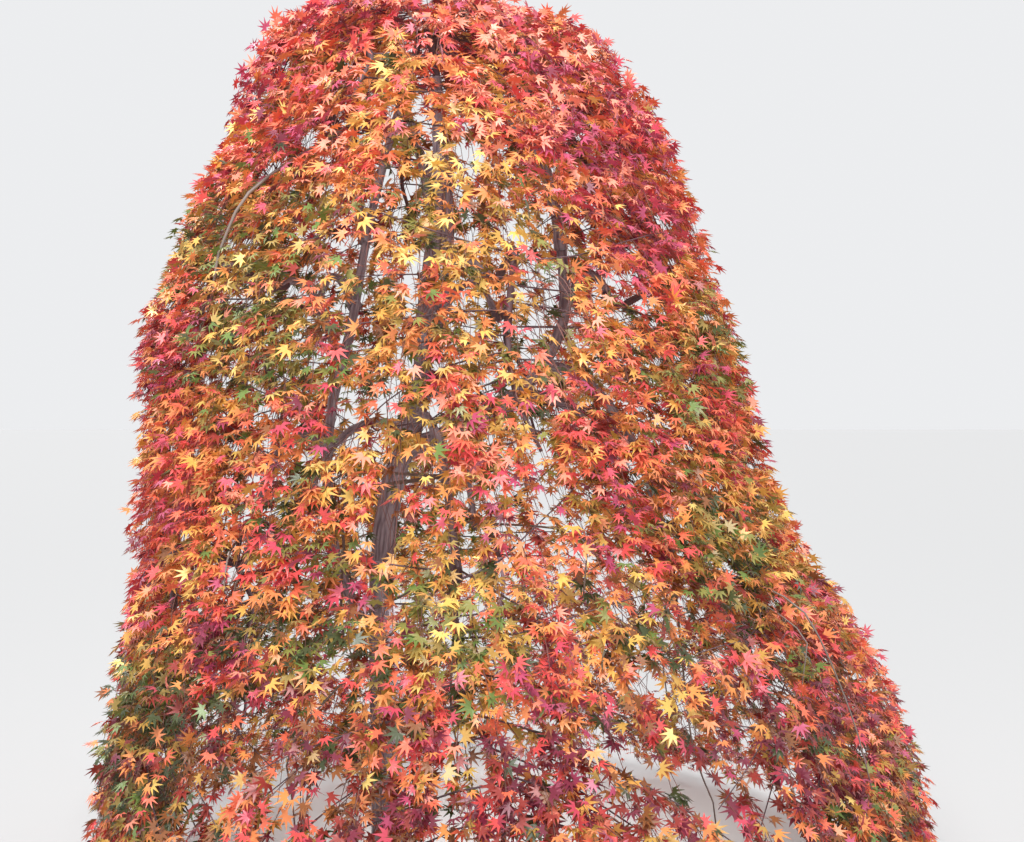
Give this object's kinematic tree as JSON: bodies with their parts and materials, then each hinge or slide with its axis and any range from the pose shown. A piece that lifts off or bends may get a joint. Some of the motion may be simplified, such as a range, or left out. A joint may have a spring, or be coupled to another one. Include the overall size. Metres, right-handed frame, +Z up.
{
  "type": "japanese maple tree",
  "caption": "Weeping Japanese maple tree in autumn leaf: one flared, leaning trunk and its leaders carry arching boughs, and foliage hangs from them to the ground as a bell-shaped curtain.",
  "frame": {"origin": "middle of the flat cut under the trunk, at ground level", "axes": "+Z up along the foot of the trunk; +X to the right and -Y towards the viewer of the picture"},
  "size_m": [2.7778, 2.6326, 3.065],
  "materials": {
    "bark": "rough bark, purplish grey-brown",
    "scarlet_foliage": "matt autumn leaves",
    "red_orange_foliage": "matt autumn leaves",
    "orange_foliage": "matt autumn leaves",
    "amber_foliage": "matt autumn leaves",
    "olive_foliage": "matt autumn leaves",
    "crimson_foliage": "matt autumn leaves"
  },
  "bodies": {
    "root": {"trunk": "bark", "left_leader": "bark", "right_leader": "bark", "back_leader": "bark", "shoulder_bough_1": "bark", "shoulder_bough_2": "bark", "shoulder_bough_3": "bark", "shoulder_bough_4": "bark", "shoulder_bough_5": "bark", "waist_bough_1": "bark", "waist_bough_2": "bark", "waist_bough_3": "bark", "waist_bough_4": "bark", "waist_bough_5": "bark", "skirt_bough_1": "bark", "skirt_bough_2": "bark", "skirt_bough_3": "bark", "skirt_bough_4": "bark", "skirt_bough_5": "bark", "skirt_bough_6": "bark", "skirt_hanging_bough_1": "bark", "skirt_hanging_bough_2": "bark", "skirt_hanging_bough_3": "bark", "skirt_hanging_bough_4": "bark", "skirt_hanging_bough_5": "bark", "skirt_hanging_bough_6": "bark", "right_crest_foliage": "scarlet_foliage", "back_crest_foliage": "red_orange_foliage", "left_crest_foliage": "orange_foliage", "front_crest_foliage": "amber_foliage", "shoulder_foliage_1": "olive_foliage", "shoulder_foliage_2": "crimson_foliage", "shoulder_foliage_3": "scarlet_foliage", "shoulder_foliage_4": "red_orange_foliage", "shoulder_foliage_5": "orange_foliage", "waist_foliage_1": "amber_foliage", "waist_foliage_2": "olive_foliage", "waist_foliage_3": "crimson_foliage", "waist_foliage_4": "scarlet_foliage", "waist_foliage_5": "red_orange_foliage", "skirt_foliage_1": "orange_foliage", "skirt_foliage_2": "amber_foliage", "skirt_foliage_3": "olive_foliage", "skirt_foliage_4": "crimson_foliage", "skirt_foliage_5": "scarlet_foliage", "skirt_foliage_6": "red_orange_foliage"}
  },
  "joints": []
}
